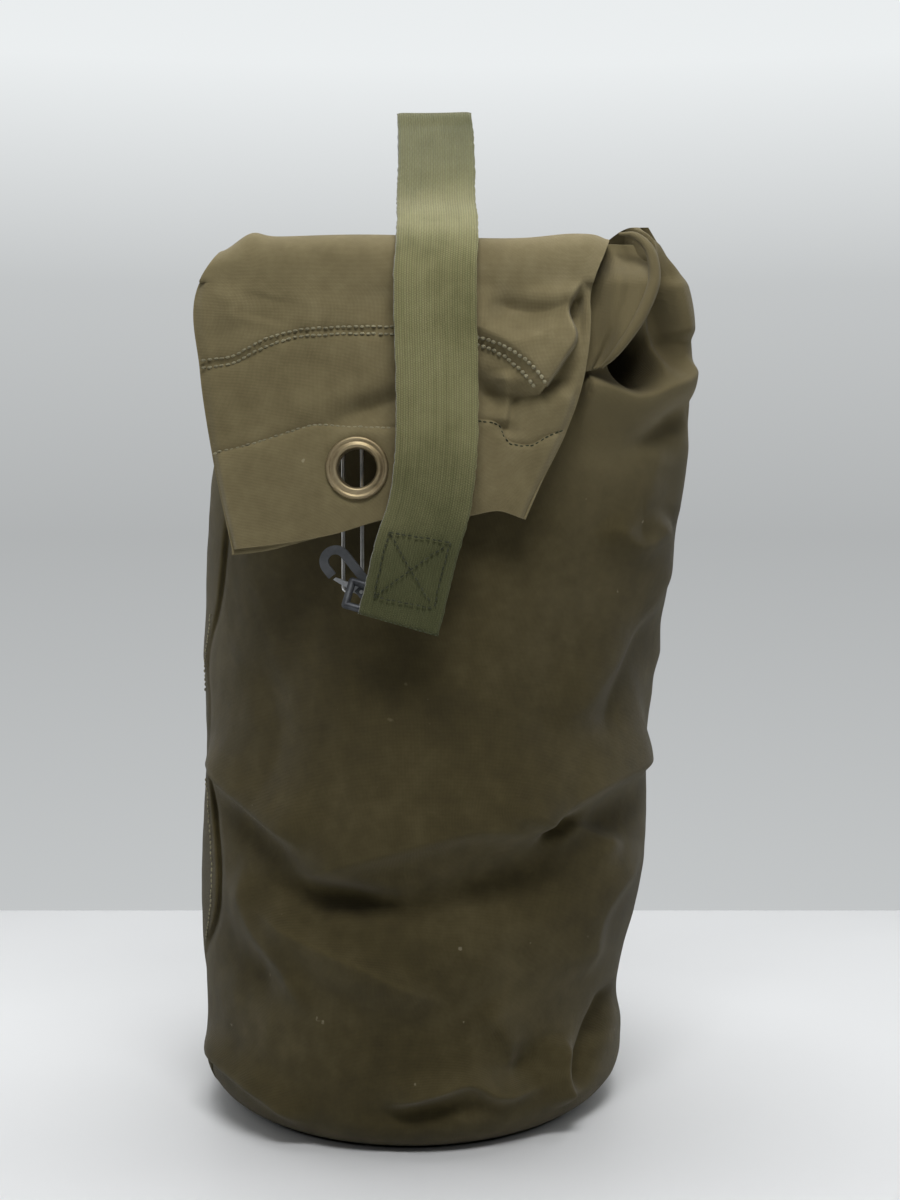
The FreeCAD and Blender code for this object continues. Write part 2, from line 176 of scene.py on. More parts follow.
# ---------------------------------------------------------------- materials
class Maker:
    """A material and short ways to add nodes to it."""

    def __init__(self, name):
        self.mat = bpy.data.materials.new(name)
        self.mat.use_nodes = True
        self.nodes = self.mat.node_tree.nodes
        self.links = self.mat.node_tree.links
        self.shader = self.nodes["Principled BSDF"]
        self.place = self.nodes.new("ShaderNodeTexCoord").outputs["Object"]

    def add(self, kind, **values):
        n = self.nodes.new(kind)
        for key, value in values.items():
            if key.startswith("in_"):
                key = key[3:]
                sock = n.inputs[int(key)] if key.isdigit() else n.inputs[key.replace("_", " ")]
                if isinstance(value, bpy.types.NodeSocket):
                    self.links.new(value, sock)
                else:
                    sock.default_value = value
            else:
                setattr(n, key, value)
        return n

    def math(self, op, a, b=0.0, c=0.0):
        return self.add("ShaderNodeMath", operation=op, in_0=a, in_1=b, in_2=c).outputs[0]

    def noise(self, scale, detail=4.0, rough=0.55, vector=None):
        return self.add("ShaderNodeTexNoise", in_Vector=vector or self.place, in_Scale=scale,
                        in_Detail=detail, in_Roughness=rough).outputs["Fac"]

    def ramp(self, value, stops):
        n = self.add("ShaderNodeValToRGB", in_Fac=value)
        while len(n.color_ramp.elements) < len(stops):
            n.color_ramp.elements.new(0.5)
        for e, (at, colour) in zip(n.color_ramp.elements, stops):
            e.position = at
            e.color = (*colour, 1) if len(colour) == 3 else colour
        return n.outputs["Color"]

    def mix(self, fac, a, b, how="MIX"):
        n = self.add("ShaderNodeMix", data_type="RGBA", blend_type=how)
        for sock, value in ((n.inputs[0], fac), (n.inputs[6], a), (n.inputs[7], b)):
            if isinstance(value, bpy.types.NodeSocket):
                self.links.new(value, sock)
            else:
                sock.default_value = (*value, 1) if isinstance(value, tuple) and len(value) == 3 else value
        return n.outputs[2]

    def bump(self, height, strength, distance, normal=None):
        n = self.add("ShaderNodeBump", in_Height=height, in_Strength=strength, in_Distance=distance)
        if normal is not None:
            self.links.new(normal, n.inputs["Normal"])
        return n.outputs["Normal"]

    def finish(self, colour, rough, normal, **plain):
        self.links.new(colour, self.shader.inputs["Base Color"])
        if isinstance(rough, bpy.types.NodeSocket):
            self.links.new(rough, self.shader.inputs["Roughness"])
        else:
            self.shader.inputs["Roughness"].default_value = rough
        self.links.new(normal, self.shader.inputs["Normal"])
        for key, value in plain.items():
            self.shader.inputs[key.replace("_", " ")].default_value = value
        return self.mat


def fabric(name, dark, mid, light, threads, wear, speckle=True, painted_top_light=None, marks=()):
    """Plain-woven cotton: warp and weft threads, slubs, soiling and rubbed high spots, and, when a top tint is given,
    painted light that makes the upper part lighter.
    The weave follows the mesh's own UV map, in metres."""
    m = Maker(name)
    uv = m.add("ShaderNodeUVMap", uv_map="cloth").outputs["UV"]
    split = m.add("ShaderNodeSeparateXYZ", in_Vector=uv)
    wobble = m.math("MULTIPLY", m.noise(60, 2), 0.0009)
    u = m.math("ADD", split.outputs[0], wobble)
    v = m.math("ADD", split.outputs[1], wobble)
    warp = m.math("ABSOLUTE", m.math("SINE", m.math("MULTIPLY", u, math.pi * threads)))
    weft = m.math("ABSOLUTE", m.math("SINE", m.math("MULTIPLY", v, math.pi * threads)))
    weave = m.math("MULTIPLY", warp, weft)
    blotch = m.noise(9, 5, 0.6)
    fine = m.noise(70, 4, 0.65)
    tone = m.math("ADD", m.math("MULTIPLY", blotch, 0.62), m.math("MULTIPLY", fine, 0.38))
    colour = m.ramp(tone, [(0.34, dark), (0.5, mid), (0.68, light)])
    slub_at = m.add("ShaderNodeMapping", in_Vector=uv, in_Scale=(90, 900, 1)).outputs[0]
    slub = m.noise(1.0, 2, 0.5, slub_at)
    colour = m.mix(m.math("MULTIPLY", slub, 0.14), colour, light)
    shade = m.ramp(weave, [(0.0, (0.62, 0.62, 0.62)), (0.75, (1, 1, 1))])
    colour = m.mix(1.0, colour, shade, "MULTIPLY")
    edge = m.ramp(m.add("ShaderNodeNewGeometry").outputs["Pointiness"],
                  [(0.5, (0, 0, 0)), (0.56, (1, 1, 1))])
    colour = m.mix(m.math("MULTIPLY", edge, wear), colour, light)
    if speckle:
        dots = m.ramp(m.noise(120, 2, 0.4), [(0.775, (0, 0, 0)), (0.80, (1, 1, 1))])
        colour = m.mix(m.math("MULTIPLY", dots, 0.35), colour, (0.42, 0.38, 0.26))
    # painted light: the canvas grows lighter with height, standing in for the top lamp on the bag's upper part
    if painted_top_light:
        high = m.math("ADD", m.add("ShaderNodeSeparateXYZ", in_Vector=m.place).outputs[2],
                      m.math("MULTIPLY", blotch, 0.05))
        share = m.add("ShaderNodeMapRange", interpolation_type="SMOOTHSTEP", in_0=high, in_1=0.42, in_2=0.545,
                      in_3=0.0, in_4=1.0).outputs[0]
        colour = m.mix(m.math("MULTIPLY", share, 0.62), colour, painted_top_light)
    for x, y, z, radius, tint in marks:
        far = m.add("ShaderNodeVectorMath", operation="DISTANCE", in_0=m.place, in_1=(x, y, z)).outputs["Value"]
        far = m.math("ADD", far, m.math("MULTIPLY", m.noise(220, 3), radius * 1.4))
        spot = m.add("ShaderNodeMapRange", in_0=far, in_1=radius * 0.9, in_2=radius * 1.5, in_3=0.75, in_4=0.0)
        colour = m.mix(spot.outputs[0], colour, tint)
    rough = m.math("ADD", 0.84, m.math("MULTIPLY", fine, 0.12))
    normal = m.bump(weave, 0.45, 0.0004)
    normal = m.bump(m.noise(28, 5, 0.6), 0.35, 0.0020, normal)
    normal = m.bump(m.noise(160, 3, 0.6), 0.25, 0.0006, normal)
    return m.finish(colour, rough, normal, Sheen_Weight=0.10, Sheen_Roughness=0.45,
                    Specular_IOR_Level=0.25)


def metal(name, base, rubbed, rough, metallic=1.0, scale=60):
    m = Maker(name)
    patch = m.noise(scale, 5, 0.65)
    colour = m.ramp(patch, [(0.35, base), (0.68, rubbed)])
    edge = m.ramp(m.add("ShaderNodeNewGeometry").outputs["Pointiness"],
                  [(0.5, (0, 0, 0)), (0.58, (1, 1, 1))])
    colour = m.mix(m.math("MULTIPLY", edge, 0.5), colour, rubbed)
    rougher = m.math("ADD", rough, m.math("MULTIPLY", m.noise(scale * 3, 4, 0.6), 0.22))
    normal = m.bump(m.noise(scale * 6, 3, 0.6), 0.18, 0.0004)
    return m.finish(colour, rougher, normal, Metallic=metallic)


PALE, BLACK = (0.20, 0.17, 0.10), (0.012, 0.010, 0.006)
# place, radius, tint
MARKS = [(-0.028, -0.160, 0.289, 0.0030, PALE), (-0.003, -0.161, 0.287, 0.0022, PALE),
         (-0.002, -0.161, 0.272, 0.0026, PALE), (-0.018, -0.161, 0.312, 0.0020, PALE),
         (0.142, -0.150, 0.432, 0.0035, PALE), (-0.023, -0.158, 0.041, 0.0048, BLACK)]
# painted shade: the body's canvas is a darker copy of the flap's cloth, standing in for shade on the bag's lower front;
# its top is painted lighter where the top lamp falls
CANVAS_PAINTED_SHADE_AND_LIGHT = fabric("canvas", (0.043, 0.033, 0.010), (0.068, 0.053, 0.0185), (0.105, 0.084, 0.036), 1150, 0.35,
                painted_top_light=(0.190, 0.156, 0.080), marks=MARKS)
# painted light: the flap's canvas is a lighter copy of the same cloth, standing in for the top lamp falling on the flap
CANVAS_FLAP_PAINTED_LIGHT = fabric("canvas_flap_painted_light", (0.150, 0.121, 0.056), (0.205, 0.168, 0.083), (0.275, 0.230, 0.125),
                     1150, 0.35)
THREAD = fabric("thread", (0.18, 0.16, 0.09), (0.34, 0.31, 0.19), (0.48, 0.44, 0.29), 2500, 0.3, False)
DARK_THREAD = fabric("thread_dark", (0.022, 0.026, 0.012), (0.04, 0.045, 0.02), (0.08, 0.085, 0.04), 2500,
                     0.3, False)
BRASS = metal("dull_brass", (0.25, 0.195, 0.105), (0.42, 0.345, 0.215), 0.42)
WIRE = metal("bright_wire", (0.45, 0.45, 0.44), (0.75, 0.75, 0.72), 0.22, scale=120)
HOOK = metal("dark_steel", (0.030, 0.032, 0.036), (0.11, 0.115, 0.12), 0.42, 0.75, 90)
GATE = metal("spring_leaf", (0.35, 0.36, 0.38), (0.62, 0.63, 0.64), 0.25, scale=120)


def webbing(name, dark, mid, light):
    """Ribbed cotton web: lengthwise cords with cross picks between them."""
    m = Maker(name)
    uv = m.add("ShaderNodeUVMap", uv_map="cloth").outputs["UV"]
    split = m.add("ShaderNodeSeparateXYZ", in_Vector=uv)
    u = split.outputs[0]
    v = split.outputs[1]
    cords = m.math("ABSOLUTE", m.math("SINE", m.math("MULTIPLY", u, math.pi * 640)))
    offset = m.math("MULTIPLY", m.math("FLOOR", m.math("MULTIPLY", u, 640)), 0.5)
    picks = m.math("ABSOLUTE", m.math("SINE", m.math("MULTIPLY", m.math("ADD", m.math("MULTIPLY", v, 700),
                                                                        offset), math.pi)))
    rib = m.math("ABSOLUTE", m.math("SINE", m.math("MULTIPLY", u, math.pi * 128)))
    weave = m.math("ADD", m.math("MULTIPLY", cords, 0.55), m.math("MULTIPLY", picks, 0.45))
    blotch = m.noise(22, 5, 0.6)
    streak_at = m.add("ShaderNodeMapping", in_Vector=uv, in_Scale=(420, 14, 1)).outputs[0]
    streak = m.noise(1.0, 3, 0.6, streak_at)
    tone = m.math("ADD", m.math("MULTIPLY", blotch, 0.75), m.math("MULTIPLY", streak, 0.25))
    colour = m.ramp(tone, [(0.33, dark), (0.5, mid), (0.68, light)])
    shade = m.ramp(weave, [(0.15, (0.52, 0.52, 0.50)), (0.85, (1, 1, 1))])
    colour = m.mix(1.0, colour, shade, "MULTIPLY")
    grime = m.add("ShaderNodeVertexColor", layer_name="grime").outputs["Color"]
    colour = m.mix(m.math("MULTIPLY", grime, 0.85), colour, (0.040, 0.046, 0.016))
    normal = m.bump(weave, 0.7, 0.0006)
    normal = m.bump(rib, 0.35, 0.0006, normal)
    normal = m.bump(m.noise(45, 4, 0.6), 0.3, 0.0015, normal)
    return m.finish(colour, 0.88, normal, Sheen_Weight=0.3, Sheen_Roughness=0.4, Specular_IOR_Level=0.22)


WEB = webbing("green_web", (0.150, 0.146, 0.062), (0.215, 0.205, 0.094), (0.270, 0.260, 0.125))


def painted(ob, mat):
    ob.data.materials.clear()
    ob.data.materials.append(mat)


def cloth_uv(ob, u, v):
    """A UV map in metres, from one value of u and v for each vertex."""
    layer = ob.data.uv_layers.new(name="cloth")
    idx = np.zeros(len(ob.data.loops), int)
    ob.data.loops.foreach_get("vertex_index", idx)
    flat = np.empty(len(idx) * 2)
    flat[0::2] = np.asarray(u)[idx]
    flat[1::2] = np.asarray(v)[idx]
    layer.data.foreach_set("uv", flat)


# ---------------------------------------------------------------- canvas body
# height, left x, right x, front y, back y
BODY = [
    (0.000, -0.150, 0.116, -0.146, 0.146),
    (0.020, -0.167, 0.131, -0.159, 0.158),
    (0.045, -0.170, 0.135, -0.161, 0.162),
    (0.070, -0.171, 0.131, -0.160, 0.163),
    (0.134, -0.173, 0.143, -0.162, 0.163),
    (0.170, -0.171, 0.150, -0.163, 0.163),
    (0.228, -0.167, 0.154, -0.162, 0.162),
    (0.250, -0.165, 0.152, -0.161, 0.162),
    (0.290, -0.166, 0.154, -0.162, 0.163),
    (0.340, -0.164, 0.159, -0.163, 0.157),
    (0.386, -0.160, 0.165, -0.163, 0.112),
    (0.440, -0.155, 0.171, -0.163, 0.040),
    (0.480, -0.151, 0.174, -0.164, -0.014),
    (0.530, -0.147, 0.170, -0.164, -0.078),
    (0.562, -0.146, 0.158, -0.165, -0.118),
    (0.590, -0.128, 0.137, -0.166, -0.146),
]


def body_creases(x, z):
    """How far the front canvas stands out, in metres, from its folds and hollows."""
    out = np.zeros(x.shape)
    out += fold(x, z, [(0.158, 0.251), (0.096, 0.236), (0.074, 0.222), (0.066, 0.209)], 0.011, 0.010, 0.030, 0.12)
    out += fold(x, z, [(0.080, 0.206), (0.046, 0.217), (0.028, 0.218), (-0.002, 0.212), (-0.033, 0.203),
                       (-0.060, 0.194), (-0.095, 0.178)], 0.011, 0.009, 0.045, 0.2)
    out += dent(x, z, 0.085, 0.213, 0.012, 0.006, 0.010, 0.5)
    out += dent(x, z, 0.030, 0.176, 0.066, 0.022, 0.016, 0.22)
    out += dent(x, z, -0.060, 0.170, 0.038, 0.010, 0.015, -0.12)
    out += dent(x, z, 0.118, 0.214, 0.030, 0.016, 0.008, 0.3)
    out += fold(x, z, [(0.082, 0.216), (0.100, 0.210), (0.130, 0.190)], 0.005, 0.006, 0.014)
    out += fold(x, z, [(-0.168, 0.256), (-0.140, 0.238), (-0.108, 0.219), (-0.076, 0.202)], 0.009, 0.022, 0.008)
    out += dent(x, z, -0.118, 0.205, 0.028, 0.014, 0.006, -0.6)
    out += fold(x, z, [(-0.125, 0.160), (-0.089, 0.144), (-0.039, 0.124), (0.010, 0.098)], 0.009, 0.007, 0.022)
    out += fold(x, z, [(-0.130, 0.190), (-0.125, 0.155), (-0.100, 0.120), (-0.085, 0.085)], 0.006, 0.010, 0.014)
    out += fold(x, z, [(0.030, 0.100), (0.050, 0.070), (0.055, 0.045)], 0.005, 0.012, 0.008)
    out += fold(x, z, [(0.145, 0.190), (0.110, 0.150), (0.100, 0.100)], 0.007, 0.010, 0.020)
    out += fold(x, z, [(-0.172, 0.050), (-0.116, 0.034), (-0.080, 0.014)], 0.009, 0.012, 0.007)
    out += fold(x, z, [(0.087, 0.070), (0.084, 0.045), (0.090, 0.018)], 0.009, 0.006, 0.010)
    out += fold(x, z, [(0.128, 0.090), (0.106, 0.050), (0.096, 0.024)], -0.010, 0.007, 0.009, 0.2)
    out += fold(x, z, [(-0.040, 0.034), (-0.021, 0.039), (0.003, 0.046), (0.022, 0.050), (0.040, 0.040),
                       (0.080, 0.040)], 0.008, 0.010, 0.005)
    out += dent(x, z, 0.060, 0.054, 0.016, 0.014, 0.009)
    out += dent(x, z, -0.005, 0.032, 0.030, 0.008, 0.006, 0.1)
    out += fold(x, z, [(0.112, 0.420), (0.131, 0.400), (0.160, 0.418)], 0.0065, 0.012, 0.009)
    out += fold(x, z, [(0.172, 0.410), (0.130, 0.341), (0.111, 0.312), (0.075, 0.275)], 0.008, 0.014, 0.030)
    out += fold(x, z, [(0.150, 0.360), (0.120, 0.290), (0.112, 0.262)], -0.005, 0.012, 0.012)
    out += fold(x, z, [(-0.120, 0.330), (-0.105, 0.270), (-0.120, 0.215)], -0.005, 0.018, 0.018)
    out += dent(x, z, -0.120, 0.115, 0.030, 0.018, 0.006, -0.5)
    out += dent(x, z, 0.020, 0.080, 0.070, 0.030, 0.004, -0.2)
    return out


def pleats(x, z):
    """The gathered right end of the fold: lobes, dark gaps between them and the body's rolled rim."""
    out = np.zeros(x.shape)
    d_line = [(0.103, 0.603), (0.121, 0.594), (0.133, 0.583), (0.137, 0.566), (0.127, 0.541), (0.114, 0.522)]
    out += fold(x, z, d_line, 0.012, 0.0032, 0.009, 0.08)
    out += fold(x, z, [(0.120, 0.588), (0.117, 0.566), (0.103, 0.545), (0.090, 0.530)], -0.014, 0.010, 0.012, 0.15)
    out += dent(x, z, 0.113, 0.580, 0.014, 0.020, 0.038, -0.45, 4)
    out += dent(x, z, 0.129, 0.523, 0.015, 0.019, 0.060, 0.15, 5)
    out += dent(x, z, 0.148, 0.541, 0.008, 0.024, 0.020, 0.35, 3)
    out += fold(x, z, [(0.131, 0.600), (0.146, 0.583), (0.151, 0.560)], -0.007, 0.005, 0.008, 0.15)
    out += fold(x, z, [(0.104, 0.560), (0.101, 0.530), (0.106, 0.512)], 0.007, 0.006, 0.008, 0.15)
    out += fold(x, z, [(0.147, 0.590), (0.152, 0.566), (0.160, 0.545), (0.163, 0.532)], 0.008, 0.010, 0.012, 0.15)
    rim = [(0.090, 0.505), (0.104, 0.503), (0.128, 0.496), (0.148, 0.503), (0.176, 0.517)]
    out += fold(x, z, rim, 0.013, 0.006, 0.020, 0.1)
    out += dent(x, z, 0.158, 0.484, 0.028, 0.009, 0.013, 0.55)
    out += fold(x, z, [(0.148, 0.470), (0.140, 0.440), (0.130, 0.402)], 0.005, 0.014, 0.016)
    out += fold(x, z, [(0.172, 0.478), (0.168, 0.440), (0.160, 0.410)], 0.004, 0.008, 0.010)
    return out


def canvas_body():
    """The tube, the slope up to the fold and the base, as one mesh with its seam at the back."""
    cols, rows = 640, 440
    angle = np.linspace(0, 2 * math.pi, cols, endpoint=False) + math.pi / 2
    heights = np.linspace(0.0, 0.590, rows)
    z, t = np.meshgrid(heights, angle, indexing="ij")
    left, right, front, back = (keyed(z, BODY, k) for k in (1, 2, 3, 4))
    cx, cy = (left + right) / 2, (front + back) / 2
    a, b = (right - left) / 2, (back - front) / 2
    c, s = np.cos(t), np.sin(t)
    n = 2.0 + 0.35 * step(z, 0.44, 0.58)
    x = cx + a * np.sign(c) * np.abs(c) ** (2 / n)
    y = cy + b * np.sign(s) * np.abs(s) ** (2 / n)
    normal_x, normal_y = c / np.maximum(a, 0.03), s / np.maximum(b, 0.03)
    size = np.hypot(normal_x, normal_y)
    normal_x, normal_y = normal_x / size, normal_y / size
    front_face = step(-normal_y, 0.05, 0.45)
    push = 1.3 * body_creases(x, z) * front_face * (1 - step(z, 0.40, 0.46) * (1 - step(x, 0.10, 0.125)))
    push += pleats(x, z) * step(-normal_y, 0.0, 0.25) * step(z, 0.38, 0.44) * step(x, 0.075, 0.095)
    around = np.mod(t + math.pi / 2, 2 * math.pi)
    soft = (ripple(x + 0.45 * y, z * 0.7 + 0.35 * y, 4, 0.045, 3) * 0.0026
            + ripple(x - 0.5 * y, z + 0.4 * y, 9, 0.014, 3) * 0.0009)
    behind = 1 - front_face
    long_folds = ripple(1.2 * x + 0.8 * y, z * 0.35 + 0.2 * y, 21, 0.022, 3)
    soft += behind * long_folds * (0.0022 + 0.0025 * step(z, 0.34, 0.5))
    soft += behind * fold(around * 0.16, z, [(0.15, 0.30), (0.30, 0.335), (0.50, 0.345), (0.70, 0.335), (0.85, 0.30)],
                          0.004, 0.018, 0.012, 0.1)
    soft += behind * fold(around * 0.16, z, [(0.55, 0.13), (0.66, 0.17), (0.80, 0.16)], 0.005, 0.012, 0.02)
    soft += behind * fold(around * 0.16, z, [(0.25, 0.20), (0.36, 0.16), (0.46, 0.19)], 0.005, 0.012, 0.02)
    keep = 1 - step(z, 0.50, 0.548) * (1 - step(x, 0.09, 0.11))
    push = push + soft * keep * step(z, 0.0, 0.03)
    x = x + normal_x * push
    y = y + normal_y * push
    y = np.where((x < 0.10) & (z > 0.36) & (y < -0.1645), -0.1645, y)
    y = np.maximum(y, -0.183)
    over = np.abs(x) - 0.160
    x = np.where(over > 0, np.sign(x) * (0.160 + 0.0135 * np.tanh(over / 0.0135)), x)
    # the side strip: the canvas laps over itself with a dark gap beside its stitched edge
    lap = [(-0.139, 0.420), (-0.149, 0.359), (-0.161, 0.318), (-0.160, 0.285), (-0.162, 0.250), (-0.152, 0.208),
           (-0.150, 0.147), (-0.166, 0.101), (-0.168, 0.060), (-0.160, 0.030)]
    d = near(x, z, lap)[0]
    groove = np.exp(-(d / 0.0022) ** 2) * 0.007 * front_face * (1 - step(z, 0.40, 0.43))
    raised = 0.0025 * step(-d, -0.001, 0.001) * np.exp(-(np.abs(d) / 0.03) ** 2) * (x < -0.10) * front_face
    y = y + (groove - raised) * (x < -0.08)
    # base: the wall rolls under to the round bottom
    rings = [np.stack([cx[0] + (x[0] - cx[0]) * (1 - inset / 0.15), cy[0] + (y[0] - cy[0]) * (1 - inset / 0.15),
                       np.zeros(cols)], -1) for inset in (0.09, 0.03, 0.006)]
    roll = 0.012 * (1 - np.sqrt(np.clip(1 - (1 - np.clip(z / 0.012, 0, 1)) ** 2, 0, 1)))
    x = x - normal_x * roll
    y = y - normal_y * roll
    z = z + 0.013 * step(x, 0.10, 0.125) * step(z, 0.54, 0.59)
    wall = np.stack([x, y, z], -1)
    co = np.concatenate([r[None] for r in rings] + [wall], 0)
    rows_all = co.shape[0]
    faces = grid_faces(rows_all, cols, True)
    centre = len(co.reshape(-1, 3))
    faces += [(centre, (k + 1) % cols, k) for k in range(cols)]
    flat = np.concatenate([co.reshape(-1, 3), [[cx[0, 0], cy[0, 0], 0.0]]])
    ob = mesh_object("bag_canvas", flat, faces)
    u = np.concatenate([np.tile(np.linspace(0, 1.0, cols), rows_all), [0.5]])
    down = np.linalg.norm(np.diff(co, axis=0), axis=2).mean(1)
    v = np.concatenate([np.repeat(np.r_[0, np.cumsum(down)], cols), [0.0]])
    cloth_uv(ob, u, v)
    painted(ob, CANVAS_PAINTED_SHADE_AND_LIGHT)
    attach(ob, "bag")
    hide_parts("canvas_body", "bottom_disc", "bottom_seam_band", "side_seam_strip")
    return ob


# ---------------------------------------------------------------- mouth flap
# (height, x) down each side, and (x, height) along the bottom
LEFT_EDGE = [(0.600, -0.126), (0.592, -0.130), (0.562, -0.1475), (0.511, -0.1465), (0.458, -0.139),
             (0.399, -0.127)]
RIGHT_EDGE = [(0.600, 0.113), (0.585, 0.107), (0.560, 0.098), (0.540, 0.098), (0.519, 0.096), (0.503, 0.093),
              (0.471, 0.082), (0.440, 0.067), (0.417, 0.057)]
BOTTOM = [(-0.150, 0.3975), (-0.127, 0.399), (-0.065, 0.408), (-0.027, 0.4185), (0.022, 0.420), (0.041, 0.423),
          (0.057, 0.418), (0.10, 0.416)]
# the overlapping pleat at the flap's upper right
PLEAT_EDGE = [(0.118, 0.600), (0.110, 0.589), (0.092, 0.566), (0.084, 0.548), (0.088, 0.531), (0.080, 0.517),
              (0.070, 0.502)]
GROMMETS = [(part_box(n)[0].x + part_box(n)[1].x) / 2 for n in ("grommet_1", "grommet_2")]
GROMMET_Z = (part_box("grommet_1")[0].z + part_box("grommet_1")[1].z) / 2


def flap_relief(x, z):
    """How far the flap's outer ply stands out in front of its plane."""
    out = np.zeros(x.shape)
    d = near(x, z, PLEAT_EDGE)[0]
    upper = step(z, 0.494, 0.506)
    out += 0.011 * step(-d, -0.0012, 0.0012) * np.exp(-(np.abs(d) / 0.030) ** 2) * upper * (d < 0.0013)
    out -= 0.007 * step(d, 0.0, 0.002) * np.exp(-(np.abs(d) / 0.014) ** 2) * upper
    out += fold(x, z, [(-0.028, 0.541), (0.020, 0.540), (0.041, 0.531), (0.060, 0.517), (0.074, 0.499)],
                0.006, 0.016, 0.006, 0.15)
    out += fold(x, z, [(0.098, 0.560), (0.070, 0.547), (0.030, 0.553)], -0.010, 0.012, 0.010)
    out += fold(x, z, [(0.080, 0.540), (0.050, 0.528), (0.030, 0.538)], 0.004, 0.008, 0.008)
    out += fold(x, z, [(0.090, 0.575), (0.050, 0.567), (0.025, 0.568)], -0.004, 0.010, 0.010)
    out += dent(x, z, 0.034, 0.496, 0.014, 0.010, 0.010, -0.6)
    out += fold(x, z, [(0.043, 0.512), (0.046, 0.492), (0.043, 0.474)], 0.005, 0.004, 0.008, 0.2)
    out += fold(x, z, [(0.052, 0.500), (0.048, 0.486), (0.046, 0.468)], -0.005, 0.006, 0.006, 0.2)
    out += fold(x, z, [(0.060, 0.492), (0.075, 0.488), (0.088, 0.497)], 0.003, 0.010, 0.012)
    out += dent(x, z, -0.036, 0.488, 0.034, 0.009, 0.009, 0.30)
    hem = [(-0.150, 0.456), (-0.115, 0.464), (-0.090, 0.472), (-0.077, 0.476), (-0.052, 0.4755), (-0.020, 0.475),
           (0.026, 0.480), (0.040, 0.477), (0.046, 0.467), (0.060, 0.464), (0.072, 0.470), (0.090, 0.475)]
    h = near(x, z, hem)[0]
    out += 0.0016 * step(-h, -0.0008, 0.0008) - fold(x, z, hem, 0.0012, 0.004, 0.002, 0)
    out += fold(x, z, [(-0.150, 0.514), (-0.120, 0.517), (-0.090, 0.5325), (-0.027, 0.535)], -0.0014, 0.004, 0.004, 0.1)
    out += fold(x, z, [(-0.120, 0.590), (-0.128, 0.560), (-0.122, 0.535)], 0.003, 0.012, 0.014)
    out += fold(x, z, [(-0.105, 0.560), (-0.110, 0.540)], -0.002, 0.012, 0.012)
    out += ripple(x, z, 31, 0.030, 3) * 0.0020 + ripple(x, z, 37, 0.010, 3) * 0.0007
    for x0 in GROMMETS:
        flat_spot = 1 - step(np.hypot(x - x0, z - GROMMET_Z), 0.018, 0.028)
        out = out * (1 - flat_spot) + 0.0010 * flat_spot
    return out


